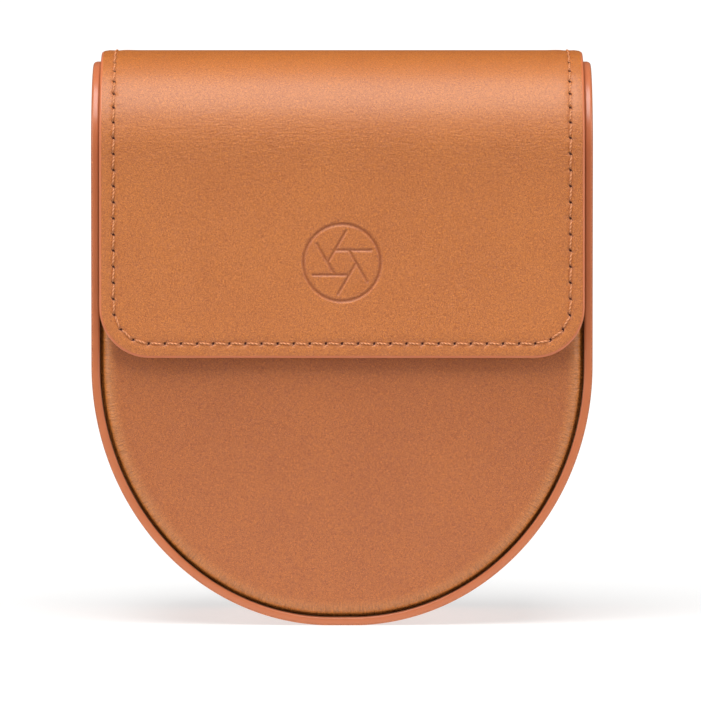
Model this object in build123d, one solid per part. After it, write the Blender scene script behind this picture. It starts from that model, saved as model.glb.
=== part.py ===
"""A leather ever-ready case for compact binoculars, with a wrap-over magnetic flap.

A deep strap of leather, bent to a U, makes the side wall. A padded front panel and a flat
back panel are set into it. The flap is sewn to the back, passes over the domed ends of the
side wall and holds to the front panel by two hidden magnets. A belt loop is on the back.

Millimetres. +Z is up, the front faces -Y, and the origin is the centre of the flat foot.
"""
import os
from math import cos, pi, sin, sqrt

from build123d import *

# ---------------------------------------------------------------- driving dimensions
CASE_WIDTH = 109.0         # across the outside of the side wall
CASE_HEIGHT = 125.0        # foot to the top of the closed flap
WALL_DEPTH = 46.0          # front edge to back edge of the side-wall strap
SPRING_HEIGHT = 56.6       # where the straight sides turn into the rounded bottom
FOOT_HALF = 2.2            # half the flat that the case stands on

WALL_LEATHER = 0.80        # side wall: outer leather, fibre core and suede lining
WALL_CORE = 0.45
WALL_LINING = 0.50
LAYER_GAP = 0.05           # glue line between two layers

FLAP_WIDTH = 105.4
FLAP_LINING = 0.5
FLAP_CORE = 1.0
FLAP_LEATHER = 0.9
FLAP_THICKNESS = FLAP_LINING + FLAP_CORE + FLAP_LEATHER
FLAP_DROP = 66.8           # top of the flap to its lower edge
FLAP_CORNER = 11.0
FLAP_TILT = 2.2            # degrees that the padded front leans the flap outwards
DOME_CLEARANCE = 0.2       # flap lining to the domed end of the side wall
DOME_RADIUS = 21.8         # outside of the flap where it rolls over
TAIL_BOTTOM = 84.0         # lower edge of the flap where it is sewn to the back
TAIL_CORNER = 6.0
BACK_HINGE_HEIGHT = 101.0
HINGE_GAP = 0.10

PANEL_DEPTH = 4.1          # rim of the side wall to the inner face of a panel's leather
PANEL_LEATHER = 1.1
PANEL_LINING = 0.5
BOARD = 1.0
PANEL_ROUND = 1.6          # turned edge of a panel where it meets the wall
CROWN_RISE = 1.5           # how far the padding stands proud of the rim
CROWN_RADIUS = 900.0
CROWN_HEIGHT = 44.0
MOUTH_HEIGHT = 100.0       # top edge of the front panel
BACK_TOP = 100.6
BACK_PROUD = 0.15

MAGNET_RADIUS = 7.0
MAGNET_THICKNESS = 0.9
KEEPER_RADIUS = 8.0
KEEPER_THICKNESS = 1.0
MAGNET_X = 30.0
MAGNET_HEIGHT = 67.0

STITCH_PITCH = 3.5
STITCH_LENGTH = 2.7
STITCH_WIDTH = 0.5
STITCH_HEIGHT = 0.3
SEAM_MARGIN = 3.1
SEAM_GROOVE_WIDTH = 1.0    # cut round the side wall so that its stitches lie below the surface
SEAM_GROOVE_DEPTH = 0.35

EMBLEM_HEIGHT = 78.8
EMBLEM_RADIUS = 8.7
EMBLEM_GROOVE = 0.6
EMBLEM_DEPTH = 0.25

LOOP_WIDTH = 38.0
LOOP_LINING = 0.9
LOOP_LEATHER = 1.2
LOOP_BOTTOM = 17.0
LOOP_TOP = 79.0
LOOP_ANCHOR = 9.0          # length of each sewn end
LOOP_RAMP = 5.0
LOOP_STANDOFF = 6.0        # room for a belt behind the case
LOOP_BEND = 3.0
LOOP_CORNER = 3.0
LOOP_STITCH_INSET = 2.2

BEYOND = 10.0              # how far a cutting shape runs past what it cuts

# ---------------------------------------------------------------- places that follow from them
RIM = WALL_DEPTH / 2
WALL_THICKNESS = WALL_LEATHER + WALL_CORE + WALL_LINING + 2 * LAYER_GAP
PANEL_INSET = WALL_THICKNESS + LAYER_GAP
FLAP_INNER_RADIUS = DOME_RADIUS - FLAP_THICKNESS
EAR_RADIUS = FLAP_INNER_RADIUS - DOME_CLEARANCE
DOME_CENTRE_Y = RIM - EAR_RADIUS
DOME_CENTRE_Z = CASE_HEIGHT - DOME_RADIUS
EAR_TOP = DOME_CENTRE_Z + EAR_RADIUS
FLAP_INNER_Y = DOME_CENTRE_Y + FLAP_INNER_RADIUS
FLAP_OUTER_Y = DOME_CENTRE_Y + DOME_RADIUS
FLAP_BOTTOM = CASE_HEIGHT - FLAP_DROP
FRONT_HINGE = Axis((0, -FLAP_OUTER_Y, DOME_CENTRE_Z), (-1, 0, 0))
CROWN_APEX = -(RIM + CROWN_RISE)
CROWN_CENTRE_Y = CROWN_APEX + CROWN_RADIUS
PANEL_BACK = -(RIM - PANEL_DEPTH)
LOOP_SEAT = RIM + BACK_PROUD + LAYER_GAP
WHOLE = 2 * CASE_WIDTH     # a block of this size covers the whole case


def save(name, *solids):
    """Writes one named piece, made of one or more closed solids."""
    whole = Compound(children=list(solids)) if len(solids) > 1 else solids[0]
    export_step(whole, os.path.join("parts", name + ".step"))


# ---------------------------------------------------------------- outlines
def u_path(inset, top):
    """The U that the side wall follows, moved inwards by inset, up to a height of top."""
    half = CASE_WIDTH / 2 - inset
    across, down = half - FOOT_HALF, SPRING_HEIGHT - inset
    return [
        Line((half, top), (half, SPRING_HEIGHT)),
        EllipticalCenterArc((FOOT_HALF, SPRING_HEIGHT), across, down, start_angle=270, arc_size=90),
        Line((FOOT_HALF, inset), (-FOOT_HALF, inset)),
        EllipticalCenterArc((-FOOT_HALF, SPRING_HEIGHT), across, down, start_angle=180, arc_size=90),
        Line((-half, SPRING_HEIGHT), (-half, top)),
    ]


def u_face(inset, top):
    """The U closed across its top, as a face that looks along Y."""
    half = CASE_WIDTH / 2 - inset
    return Plane.XZ * make_face([*u_path(inset, top), Line((-half, top), (half, top))])


def along_y(face, front, back):
    """A face that looks along Y, made solid from front to back."""
    return Pos(0, back, 0) * extrude(face, amount=back - front)


def across_x(face, width):
    """A side profile in the YZ plane, made solid and centred on X = 0."""
    return Pos(-width / 2, 0, 0) * extrude(face, amount=width)


def rounded_plate(width, bottom, top, corner, front, back):
    """An upright plate with two rounded lower corners."""
    height = top - bottom
    plate = Pos(0, (front + back) / 2, bottom + height / 2) * Box(width, back - front, height)
    lower = plate.edges().filter_by(Axis.Y).group_by(Axis.Z)[0]
    return fillet(lower, corner)


# ---------------------------------------------------------------- side wall
def wall_side_profile():
    """Side view of the strap: flat edges, and a domed end that the flap rolls over."""
    tall = Pos(0, EAR_TOP / 2) * Rectangle(WALL_DEPTH, EAR_TOP)
    upper = tall.vertices().group_by(Axis.Y)[-1]
    return across_x(Plane.YZ * fillet(upper, EAR_RADIUS), WHOLE)


def wall_layer(outer_inset, thickness):
    """One layer of the U-shaped side wall."""
    ring = u_face(outer_inset, EAR_TOP) - u_face(outer_inset + thickness, EAR_TOP + BEYOND)
    return along_y(ring, -RIM, RIM) & wall_side_profile()


def seam_grooves():
    """A shallow groove near each edge of the side wall, where the stitches lie."""
    top = MOUTH_HEIGHT - SEAM_MARGIN + STITCH_PITCH / 4
    band = u_face(-BEYOND, top) - u_face(SEAM_GROOVE_DEPTH, top + BEYOND)
    half = SEAM_GROOVE_WIDTH / 2
    return [along_y(band, y - half, y + half) for y in (SEAM_MARGIN - RIM, RIM - SEAM_MARGIN)]


def side_wall():
    core_inset = WALL_LEATHER + LAYER_GAP
    lining_inset = core_inset + WALL_CORE + LAYER_GAP
    save("gusset_leather", wall_layer(0, WALL_LEATHER) - seam_grooves())
    save("gusset_core", wall_layer(core_inset, WALL_CORE))
    save("gusset_lining", wall_layer(lining_inset, WALL_LINING))


# ---------------------------------------------------------------- panels
def crowned_slab(inset, top, depth_under_crown, back, rounding):
    """A slab with the U outline and a gently domed front, rounded all along the U."""
    slab = along_y(u_face(inset, top), CROWN_APEX - BEYOND, back)
    radius = CROWN_RADIUS - depth_under_crown
    slab = slab & Pos(0, CROWN_CENTRE_Y, CROWN_HEIGHT) * Sphere(radius)
    around_front = slab.faces().filter_by(GeomType.SPHERE).edges().sort_by(Axis.Z)
    return fillet(around_front[:-1], rounding)


def keeper_sites():
    """Where the steel keepers sit under the front leather."""
    drop = (MAGNET_X + KEEPER_RADIUS) ** 2 + (MAGNET_HEIGHT + KEEPER_RADIUS - CROWN_HEIGHT) ** 2
    front = CROWN_APEX + PANEL_LEATHER + drop / (2 * CROWN_RADIUS) + 3 * LAYER_GAP
    middle = front + KEEPER_THICKNESS / 2
    return [Pos(x, middle, MAGNET_HEIGHT) * Rot(90, 0, 0) for x in (-MAGNET_X, MAGNET_X)]


def front_panel():
    leather_inset = PANEL_INSET + PANEL_LEATHER
    pad_inset = leather_inset + LAYER_GAP
    inner_top = MOUTH_HEIGHT - PANEL_LEATHER
    inner_round = PANEL_ROUND - PANEL_LEATHER
    outside = crowned_slab(PANEL_INSET, MOUTH_HEIGHT, 0, PANEL_BACK, PANEL_ROUND)
    hollow = crowned_slab(leather_inset, inner_top, PANEL_LEATHER, PANEL_BACK + BEYOND, inner_round)
    save("front_leather", outside - hollow)

    board_back = PANEL_BACK - LAYER_GAP
    board_front = board_back - BOARD
    board_face = u_face(pad_inset, inner_top - LAYER_GAP)
    save("front_board", along_y(board_face, board_front, board_back))

    pad_depth = PANEL_LEATHER + LAYER_GAP
    pad_back = board_front - LAYER_GAP
    pad = crowned_slab(pad_inset, inner_top - LAYER_GAP, pad_depth, pad_back, inner_round)
    sites = keeper_sites()
    pocket = Cylinder(KEEPER_RADIUS + LAYER_GAP, KEEPER_THICKNESS + 2 * LAYER_GAP)
    mouth_of_pocket = Pos(0, 0, KEEPER_THICKNESS) * pocket
    for site in sites:
        pad = pad - site * pocket - site * mouth_of_pocket
    save("front_padding", pad)

    keeper = Cylinder(KEEPER_RADIUS, KEEPER_THICKNESS)
    save("magnet_keeper_left", sites[0] * keeper)
    save("magnet_keeper_right", sites[1] * keeper)

    lining_front = PANEL_BACK + LAYER_GAP
    lining_face = u_face(PANEL_INSET, MOUTH_HEIGHT - LAYER_GAP)
    save("front_lining", along_y(lining_face, lining_front, lining_front + PANEL_LINING))


def back_panel():
    back_face = RIM + BACK_PROUD
    slab = along_y(u_face(PANEL_INSET, BACK_TOP), -PANEL_BACK, back_face)
    outside = fillet(slab.faces().sort_by(Axis.Y)[-1].edges(), PANEL_ROUND)
    inner_face = u_face(PANEL_INSET + PANEL_LEATHER, BACK_TOP - PANEL_LEATHER)
    hollow = along_y(inner_face, -PANEL_BACK - BEYOND, back_face - PANEL_LEATHER)
    hollow = fillet(hollow.faces().sort_by(Axis.Y)[-1].edges(), PANEL_ROUND - PANEL_LEATHER)
    save("back_leather", outside - hollow)

    fill_face = u_face(PANEL_INSET + PANEL_LEATHER + LAYER_GAP, BACK_TOP - PANEL_LEATHER - LAYER_GAP)
    board_front = -PANEL_BACK + LAYER_GAP
    board_back = board_front + BOARD
    save("back_board", along_y(fill_face, board_front, board_back))
    pad_back = back_face - PANEL_LEATHER - LAYER_GAP
    pad = along_y(fill_face, board_back + LAYER_GAP, pad_back)
    pad = fillet(pad.faces().sort_by(Axis.Y)[-1].edges(), PANEL_ROUND - PANEL_LEATHER)
    save("back_padding", pad)

    lining_back = -PANEL_BACK - LAYER_GAP
    lining_face = u_face(PANEL_INSET, BACK_TOP - LAYER_GAP)
    save("back_lining", along_y(lining_face, lining_back - PANEL_LINING, lining_back))


# ---------------------------------------------------------------- flap
def arch_region(offset):
    """Side view of all that lies under the flap, up to offset outside its lining face."""
    reach = FLAP_INNER_RADIUS + offset
    side = FLAP_INNER_Y + offset
    base = TAIL_BOTTOM - BEYOND
    outline = [
        Line((side, base), (side, DOME_CENTRE_Z)),
        CenterArc((DOME_CENTRE_Y, DOME_CENTRE_Z), reach, 0, 90),
        Line((DOME_CENTRE_Y, DOME_CENTRE_Z + reach), (-DOME_CENTRE_Y, DOME_CENTRE_Z + reach)),
        CenterArc((-DOME_CENTRE_Y, DOME_CENTRE_Z), reach, 90, 90),
        Line((-side, DOME_CENTRE_Z), (-side, base)),
        Line((-side, base), (side, base)),
    ]
    return Plane.YZ * make_face(outline)


def tail_layer(inner, outer):
    """The part of a flap layer that is sewn to the back panel."""
    top = BACK_HINGE_HEIGHT - HINGE_GAP / 2
    near, far = FLAP_INNER_Y + inner, FLAP_INNER_Y + outer
    return rounded_plate(FLAP_WIDTH, TAIL_BOTTOM, top, TAIL_CORNER, near, far)


def roll_layer(inner, outer):
    """The part of a flap layer that rolls over the top, between the two bending lines."""
    strip = across_x(arch_region(outer) - arch_region(inner), FLAP_WIDTH)
    back_base = BACK_HINGE_HEIGHT + HINGE_GAP / 2
    front_base = DOME_CENTRE_Z + HINGE_GAP / 2
    back_half = Pos(0, WHOLE / 2, back_base + WHOLE / 2) * Box(WHOLE, WHOLE, WHOLE)
    front_half = Pos(0, -WHOLE / 2, front_base + WHOLE / 2) * Box(WHOLE, WHOLE, WHOLE)
    return strip & (back_half + front_half)


def front_layer(inner, outer):
    """The part of a flap layer that hangs over the front, before it is tilted."""
    top = DOME_CENTRE_Z - HINGE_GAP / 2
    near, far = -(FLAP_INNER_Y + inner), -(FLAP_INNER_Y + outer)
    return rounded_plate(FLAP_WIDTH, FLAP_BOTTOM, top, FLAP_CORNER, far, near)


def tilted(solid):
    """Leans a piece of the flap's front outwards over the padding."""
    return solid.rotate(FRONT_HINGE, FLAP_TILT)


def emblem_ring():
    """The round groove pressed into the flap's leather."""
    outer = Cylinder(EMBLEM_RADIUS + EMBLEM_GROOVE / 2, 2 * EMBLEM_DEPTH)
    inner = Cylinder(EMBLEM_RADIUS - EMBLEM_GROOVE / 2, 2 * EMBLEM_DEPTH)
    return Pos(0, -FLAP_OUTER_Y, EMBLEM_HEIGHT) * Rot(90, 0, 0) * (outer - inner)


def flap():
    core_inner = FLAP_LINING
    leather_inner = FLAP_LINING + FLAP_CORE
    layers = {
        "lining": (0, core_inner),
        "core": (core_inner, leather_inner),
        "leather": (leather_inner, FLAP_THICKNESS),
    }
    middle = -(FLAP_INNER_Y + core_inner + FLAP_CORE / 2)
    sites = [Pos(x, middle, MAGNET_HEIGHT) * Rot(90, 0, 0) for x in (-MAGNET_X, MAGNET_X)]
    for layer, (inner, outer) in layers.items():
        hanging = front_layer(inner, outer)
        if layer == "core":
            for site in sites:
                hanging = hanging - site * Cylinder(MAGNET_RADIUS + LAYER_GAP, 2 * FLAP_CORE)
        if layer == "leather":
            hanging = hanging - emblem_ring()
        save("flap_tail_" + layer, tail_layer(inner, outer))
        save("flap_roll_" + layer, roll_layer(inner, outer))
        save("flap_front_" + layer, tilted(hanging))
    magnet = Cylinder(MAGNET_RADIUS, MAGNET_THICKNESS)
    save("flap_magnet_left", tilted(sites[0] * magnet))
    save("flap_magnet_right", tilted(sites[1] * magnet))


# ---------------------------------------------------------------- belt loop
def loop_strip(inner, outer):
    """One layer of the belt loop: flat sewn ends and a middle that stands off the back."""
    rise = LOOP_STANDOFF + LOOP_SEAT
    line = FilletPolyline(
        (LOOP_SEAT, LOOP_BOTTOM),
        (LOOP_SEAT, LOOP_BOTTOM + LOOP_ANCHOR),
        (rise, LOOP_BOTTOM + LOOP_ANCHOR + LOOP_RAMP),
        (rise, LOOP_TOP - LOOP_ANCHOR - LOOP_RAMP),
        (LOOP_SEAT, LOOP_TOP - LOOP_ANCHOR),
        (LOOP_SEAT, LOOP_TOP),
        radius=LOOP_BEND,
    )

    def moved_out(amount):
        if amount == 0:
            return line
        return offset(line, amount, side=Side.RIGHT, closed=False)

    near, far = moved_out(inner), moved_out(outer)
    ends = [Line(near @ k, far @ k) for k in (0, 1)]
    face = make_face([*near.edges(), *far.edges(), *ends])
    strip = across_x(Plane.YZ * face, LOOP_WIDTH)
    corners = strip.edges().filter_by(Axis.Y)
    return fillet(corners, LOOP_CORNER)


def belt_loop():
    save("belt_loop_lining", loop_strip(0, LOOP_LINING))
    save("belt_loop_leather", loop_strip(LOOP_LINING, LOOP_LINING + LOOP_LEATHER))


# ---------------------------------------------------------------- stitching
def stitch(place, forward, outward):
    """One stitch that lies on a surface at place."""
    seat = Plane(origin=place, x_dir=forward, z_dir=outward)
    return seat * Pos(0, 0, STITCH_HEIGHT / 2) * Box(STITCH_LENGTH, STITCH_WIDTH, STITCH_HEIGHT)


def row(wire, outward_at):
    """Stitches spaced evenly along a wire. outward_at gives the surface normal there."""
    count = round(wire.length / STITCH_PITCH)
    places = [(k + 0.5) / count * wire.length for k in range(count)]
    made = []
    for distance in places:
        place = wire.position_at(distance, position_mode=PositionMode.LENGTH)
        forward = wire.tangent_at(distance, position_mode=PositionMode.LENGTH)
        made.append(stitch(place, forward, outward_at(place, forward)))
    return made


def flat_row(points, corner, y, outward_y):
    """Stitches along an upright polyline with rounded corners, on a face that looks along Y."""
    spots = [(x, y, z) for x, z in points]
    wire = FilletPolyline(*spots, radius=corner)
    return row(wire, lambda place, forward: Vector(0, outward_y, 0))


def flap_stitching():
    edge = FLAP_WIDTH / 2 - SEAM_MARGIN
    tail_row = TAIL_BOTTOM + SEAM_MARGIN
    tail_top = BACK_HINGE_HEIGHT - STITCH_PITCH / 3
    tail = [(-edge, tail_top), (-edge, tail_row), (edge, tail_row), (edge, tail_top)]
    save("flap_tail_stitching", *flat_row(tail, TAIL_CORNER - SEAM_MARGIN, FLAP_OUTER_Y, 1))

    front_row = FLAP_BOTTOM + SEAM_MARGIN
    front_top = DOME_CENTRE_Z - STITCH_PITCH / 3
    front = [(-edge, front_top), (-edge, front_row), (edge, front_row), (edge, front_top)]
    hanging = flat_row(front, FLAP_CORNER - SEAM_MARGIN, -FLAP_OUTER_Y, -1)
    save("flap_front_stitching", *[tilted(piece) for piece in hanging])

    top = DOME_CENTRE_Z + DOME_RADIUS
    start = BACK_HINGE_HEIGHT + STITCH_PITCH / 3
    rolled = []
    for x in (-edge, edge):
        over = Wire([
            Edge.make_line((x, FLAP_OUTER_Y, start), (x, FLAP_OUTER_Y, DOME_CENTRE_Z)),
            dome_arc(x, 1),
            Edge.make_line((x, DOME_CENTRE_Y, top), (x, -DOME_CENTRE_Y, top)),
            dome_arc(x, -1),
        ])
        rolled += row(over, lambda place, forward: Vector(1, 0, 0).cross(forward) * -1)
    save("flap_roll_stitching", *rolled)


def dome_arc(x, side):
    """A quarter of the dome's outside, in order from the back (side 1) to the front (side -1)."""
    centre = Vector(x, side * DOME_CENTRE_Y, DOME_CENTRE_Z)
    ends = [
        centre + Vector(0, side * DOME_RADIUS * cos(turn), DOME_RADIUS * sin(turn))
        for turn in (0, pi / 4, pi / 2)
    ]
    if side < 0:
        ends.reverse()
    return Edge.make_three_point_arc(*ends)


def wall_stitching():
    """The two seams that hold the turned panel edges to the side wall."""
    path = u_path(SEAM_GROOVE_DEPTH, MOUTH_HEIGHT - SEAM_MARGIN)
    seam = Wire([edge for line in path for edge in line.edges()])
    upright = Plane.XZ * seam
    seams = {"front_seam_stitching": SEAM_MARGIN - RIM, "back_seam_stitching": RIM - SEAM_MARGIN}
    for name, y in seams.items():
        shifted = Pos(0, y, 0) * upright
        centre = Vector(0, y, SPRING_HEIGHT)

        def outward(place, forward):
            normal = Vector(0, 1, 0).cross(forward)
            return normal if normal.dot(place - centre) > 0 else normal * -1

        save(name, *row(shifted, outward))


def mouth_stitching():
    """The row that holds down the turned top edge of the front panel."""
    height = MOUTH_HEIGHT - SEAM_MARGIN
    half = CASE_WIDTH / 2 - PANEL_INSET - PANEL_ROUND - SEAM_MARGIN
    count = round(2 * half / STITCH_PITCH)
    centre = Vector(0, CROWN_CENTRE_Y, CROWN_HEIGHT)
    made = []
    for k in range(count):
        x = -half + (k + 0.5) / count * 2 * half
        depth = sqrt(CROWN_RADIUS ** 2 - x ** 2 - (height - CROWN_HEIGHT) ** 2)
        place = Vector(x, CROWN_CENTRE_Y - depth, height)
        outward = (place - centre).normalized()
        forward = outward.cross(Vector(0, 0, 1)).normalized()
        made.append(stitch(place, forward, outward))
    save("mouth_stitching", *made)


def loop_stitching():
    """A sewn rectangle at each end of the belt loop."""
    edge = LOOP_WIDTH / 2 - SEAM_MARGIN
    y = LOOP_SEAT + LOOP_LINING + LOOP_LEATHER
    made = []
    for low in (LOOP_BOTTOM, LOOP_TOP - LOOP_ANCHOR):
        for z in (low + LOOP_STITCH_INSET, low + LOOP_ANCHOR - LOOP_STITCH_INSET):
            made += flat_line(-edge, edge, z, y)
    save("belt_loop_stitching", *made)


def flat_line(x_from, x_to, z, y):
    """Stitches in a straight line across the back."""
    wire = Wire([Edge.make_line((x_from, y, z), (x_to, y, z))])
    return row(wire, lambda place, forward: Vector(0, 1, 0))


os.makedirs("parts", exist_ok=True)
side_wall()
front_panel()
back_panel()
flap()
belt_loop()
flap_stitching()
wall_stitching()
mouth_stitching()
loop_stitching()
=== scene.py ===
"""A leather ever-ready case: its look, built round the fixed CAD frame. Metres, +Z up, front at -Y."""
import math

import bmesh
import bpy
import numpy as np
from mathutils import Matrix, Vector


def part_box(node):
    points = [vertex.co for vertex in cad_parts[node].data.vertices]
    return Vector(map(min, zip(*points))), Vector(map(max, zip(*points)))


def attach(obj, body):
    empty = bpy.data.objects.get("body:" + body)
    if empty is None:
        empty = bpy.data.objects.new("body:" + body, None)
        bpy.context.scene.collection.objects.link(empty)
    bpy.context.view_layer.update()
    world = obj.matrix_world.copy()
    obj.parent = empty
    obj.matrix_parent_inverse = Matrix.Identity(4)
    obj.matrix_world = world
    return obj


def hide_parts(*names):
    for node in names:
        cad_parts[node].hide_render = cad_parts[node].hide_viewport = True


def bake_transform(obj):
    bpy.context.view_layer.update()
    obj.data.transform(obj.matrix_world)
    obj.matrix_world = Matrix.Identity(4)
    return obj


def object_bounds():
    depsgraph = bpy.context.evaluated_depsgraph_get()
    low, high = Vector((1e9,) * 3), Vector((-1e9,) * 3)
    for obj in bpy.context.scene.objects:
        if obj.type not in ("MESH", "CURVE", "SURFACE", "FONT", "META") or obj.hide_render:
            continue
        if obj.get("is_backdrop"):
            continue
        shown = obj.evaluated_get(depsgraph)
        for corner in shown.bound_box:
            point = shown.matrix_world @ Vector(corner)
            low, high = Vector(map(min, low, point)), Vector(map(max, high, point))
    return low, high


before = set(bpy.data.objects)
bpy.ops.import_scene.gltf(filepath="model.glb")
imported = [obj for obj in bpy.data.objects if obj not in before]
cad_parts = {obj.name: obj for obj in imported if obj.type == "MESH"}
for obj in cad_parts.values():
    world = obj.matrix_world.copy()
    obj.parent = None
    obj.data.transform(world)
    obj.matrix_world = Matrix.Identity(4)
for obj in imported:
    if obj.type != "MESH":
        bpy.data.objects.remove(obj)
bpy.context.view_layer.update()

MM = 0.001

# ==================================================================== side wall
# One deep strap of tan leather, glued to a thin fibre core and a suede lining, and bent to a U.
# Its two ends stand up as rounded ears that carry the flap. It is cut and sewn flat on the
# bench, so it is modelled flat here, and then bent round its former.


def between(low, high):
    """Lowest and highest corner in millimetres."""
    return np.array(low) / MM, np.array(high) / MM


WALL_HALF, RIM, EAR_TOP = between(*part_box("gusset_leather"))[1]
WALL_SKIN, WALL_LINING = 0.80, 0.50
WALL_THICKNESS = 1.85  # skin, fibre core and lining
SPRING = 56.6          # height where the straight sides turn into the rounded bottom
FOOT_HALF = 2.2        # half the flat that the case stands on
EAR_RADIUS = 19.2
STEP = 0.1             # spacing of the points on a former
QUARTER_POINTS = 900


def former(points):
    """A bench former: a dense line of points and its length, to bend flat work round."""
    points = np.array(points, float)
    run = np.concatenate([[0], np.cumsum(np.linalg.norm(np.diff(points, axis=0), axis=1))])
    ahead = np.gradient(points, axis=0)
    ahead /= np.linalg.norm(ahead, axis=1)[:, None]
    return {"points": points, "run": run, "ahead": ahead, "length": run[-1]}


def read(line, what, along):
    """The points of a former, or its directions, at distances along it."""
    return np.stack([np.interp(along, line["run"], line[what][:, k]) for k in (0, 1)], -1)


def place(line, along, height):
    """Points at a distance along a former, raised by height to the left of its direction."""
    ahead = read(line, "ahead", along)
    ahead /= np.linalg.norm(ahead, axis=-1, keepdims=True)
    left = np.stack([-ahead[..., 1], ahead[..., 0]], -1)
    return read(line, "points", along) + left * np.asarray(height)[..., None]


def trace(start, heading, *stretches):
    """Points through straight and round stretches, each a length and the degrees it turns left."""
    x, y = start
    angle = math.radians(heading)
    points = [(x, y)]
    for length, turn in stretches:
        count = max(2, round(length / STEP))
        for _ in range(count):
            angle += math.radians(turn) / count / 2
            x += math.cos(angle) * length / count
            y += math.sin(angle) * length / count
            angle += math.radians(turn) / count / 2
            points.append((x, y))
    return points


def quarter(centre_x, side):
    """A quarter of the rounded bottom, from the side (side -1 is left) down to the foot."""
    turns = np.linspace(0, math.pi / 2, QUARTER_POINTS)
    across = WALL_HALF - FOOT_HALF
    return np.stack([centre_x + side * across * np.cos(turns), SPRING - SPRING * np.sin(turns)], -1)


def u_line(top):
    """The U that the wall's outside follows, from the left top round to the right top."""
    left = quarter(-FOOT_HALF, -1)
    right = quarter(FOOT_HALF, 1)[::-1]
    rise = np.arange(SPRING + STEP, top, STEP)[::-1]
    down = np.stack([np.full(len(rise) + 1, -WALL_HALF), np.append([top], rise)], -1)
    foot = np.arange(-FOOT_HALF + STEP, FOOT_HALF - STEP / 2, STEP)[:, None]
    foot = np.concatenate([foot, np.zeros_like(foot)], -1)
    up = down[::-1] * (-1, 1)
    return former(np.concatenate([down, left, foot, right, up]))


WALL = u_line(EAR_TOP)


def only(piece):
    """Makes piece the one selected and active object."""
    bpy.ops.object.select_all(action="DESELECT")
    piece.select_set(True)
    bpy.context.view_layer.objects.active = piece


def named(name):
    piece = bpy.context.object
    piece.name = piece.data.name = name
    return piece


def coordinates(piece):
    found = np.empty(len(piece.data.vertices) * 3)
    piece.data.vertices.foreach_get("co", found)
    return found.reshape(-1, 3) / MM


def put(piece, points):
    piece.data.vertices.foreach_set("co", (points * MM).ravel())
    piece.data.update()


def raise_by(piece, height):
    """Raises flat work by one height, or by a height for each point."""
    points = coordinates(piece)
    points[:, 2] += height
    put(piece, points)


def mark(piece, word, values):
    """Writes a number on each point, for the leather's colour and gloss to follow."""
    points = piece.data.attributes.new(word, "FLOAT", "POINT")
    points.data.foreach_set("value", values.astype(np.float32))


def open_up(piece, parts="FACE"):
    """Opens a piece for shaping, with all of it selected."""
    only(piece)
    bpy.ops.object.mode_set(mode="EDIT")
    bpy.ops.mesh.select_mode(type=parts)
    bpy.ops.mesh.select_all(action="SELECT")


def close_up():
    bpy.ops.object.mode_set(mode="OBJECT")


def choose(piece, parts, test):
    """Selects those points, edges or faces of an open piece that pass a test."""
    mesh = bmesh.from_edit_mesh(piece.data)
    for part in getattr(mesh, parts):
        part.select_set(bool(test(part)))
    bmesh.update_edit_mesh(piece.data)
    return mesh


def finish_with(piece, modifier):
    """Applies a modifier that has been set up."""
    only(piece)
    bpy.ops.object.modifier_apply(modifier=modifier.name)


def blank(name, half_width, start, end, corner, pitch, ends=(True, True)):
    """A flat blank of leather: X across, Y along, cut with rounded corners at the chosen ends."""
    bpy.ops.object.select_all(action="DESELECT")
    across, along = round(2 * half_width / pitch), round((end - start) / pitch)
    bpy.ops.mesh.primitive_grid_add(x_subdivisions=across, y_subdivisions=along, size=1)
    piece = named(name)
    points = coordinates(piece) * MM
    points[:, 0] *= 2 * half_width
    points[:, 1] = start + (points[:, 1] + 0.5) * (end - start)
    for rounded, edge, way in ((ends[0], start, -1), (ends[1], end, 1)):
        if not rounded:
            continue
        a = (np.abs(points[:, 0]) - (half_width - corner)) / corner
        b = ((points[:, 1] - edge) * way + corner) / corner
        inside = (a > 0) & (b > 0)
        new_a = a * np.sqrt(np.clip(1 - b * b / 2, 0, 1))
        new_b = b * np.sqrt(np.clip(1 - a * a / 2, 0, 1))
        points[inside, 0] = (np.sign(points[:, 0]) * (half_width - corner + new_a * corner))[inside]
        points[inside, 1] = (edge + way * (new_b - 1) * corner)[inside]
    put(piece, points)
    return piece


def inset_of(points, half_width, half_length, corner):
    """How far each flat point lies inside the cut edge of a blank with rounded corners."""
    a = np.abs(points[:, 0]) - (half_width - corner)
    b = np.abs(points[:, 1]) - (half_length - corner)
    outside = np.hypot(np.maximum(a, 0), np.maximum(b, 0))
    return corner - outside - np.minimum(np.maximum(a, b), 0)


def refine(piece, test, cuts):
    """Cuts the faces whose middle passes the test into finer ones."""
    open_up(piece)
    mesh = bmesh.from_edit_mesh(piece.data)
    mesh.faces.ensure_lookup_table()
    middles = np.array([face.calc_center_median() for face in mesh.faces]) / MM
    for face, chosen in zip(mesh.faces, test(middles)):
        face.select_set(bool(chosen))
    bmesh.update_edit_mesh(piece.data)
    bpy.ops.mesh.subdivide(number_cuts=cuts)
    close_up()


def chart(piece, places=None):
    """Keeps each flat point's place on the hide, in millimetres, as the map that the grain follows."""
    places = coordinates(piece)[:, :2] if places is None else places
    layer = piece.data.uv_layers.get("cut") or piece.data.uv_layers.new(name="cut")
    ends = np.empty(len(piece.data.loops), np.int32)
    piece.data.loops.foreach_get("vertex_index", ends)
    layer.data.foreach_set("uv", places[ends].astype(np.float32).ravel())


def thicken(piece, thickness, side=-1):
    """Gives a bent sheet its thickness, to the left (1) or right (-1) of its face."""
    shell = piece.modifiers.new("thickness", "SOLIDIFY")
    shell.thickness, shell.offset = thickness * MM, side
    finish_with(piece, shell)


def smooth(piece, angle=35):
    only(piece)
    bpy.ops.object.shade_smooth_by_angle(angle=math.radians(angle))


WALL_SAG = 0.35
PAINT_PROUD = 0.12     # how far the painted edge stands above the skin beside it


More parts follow.
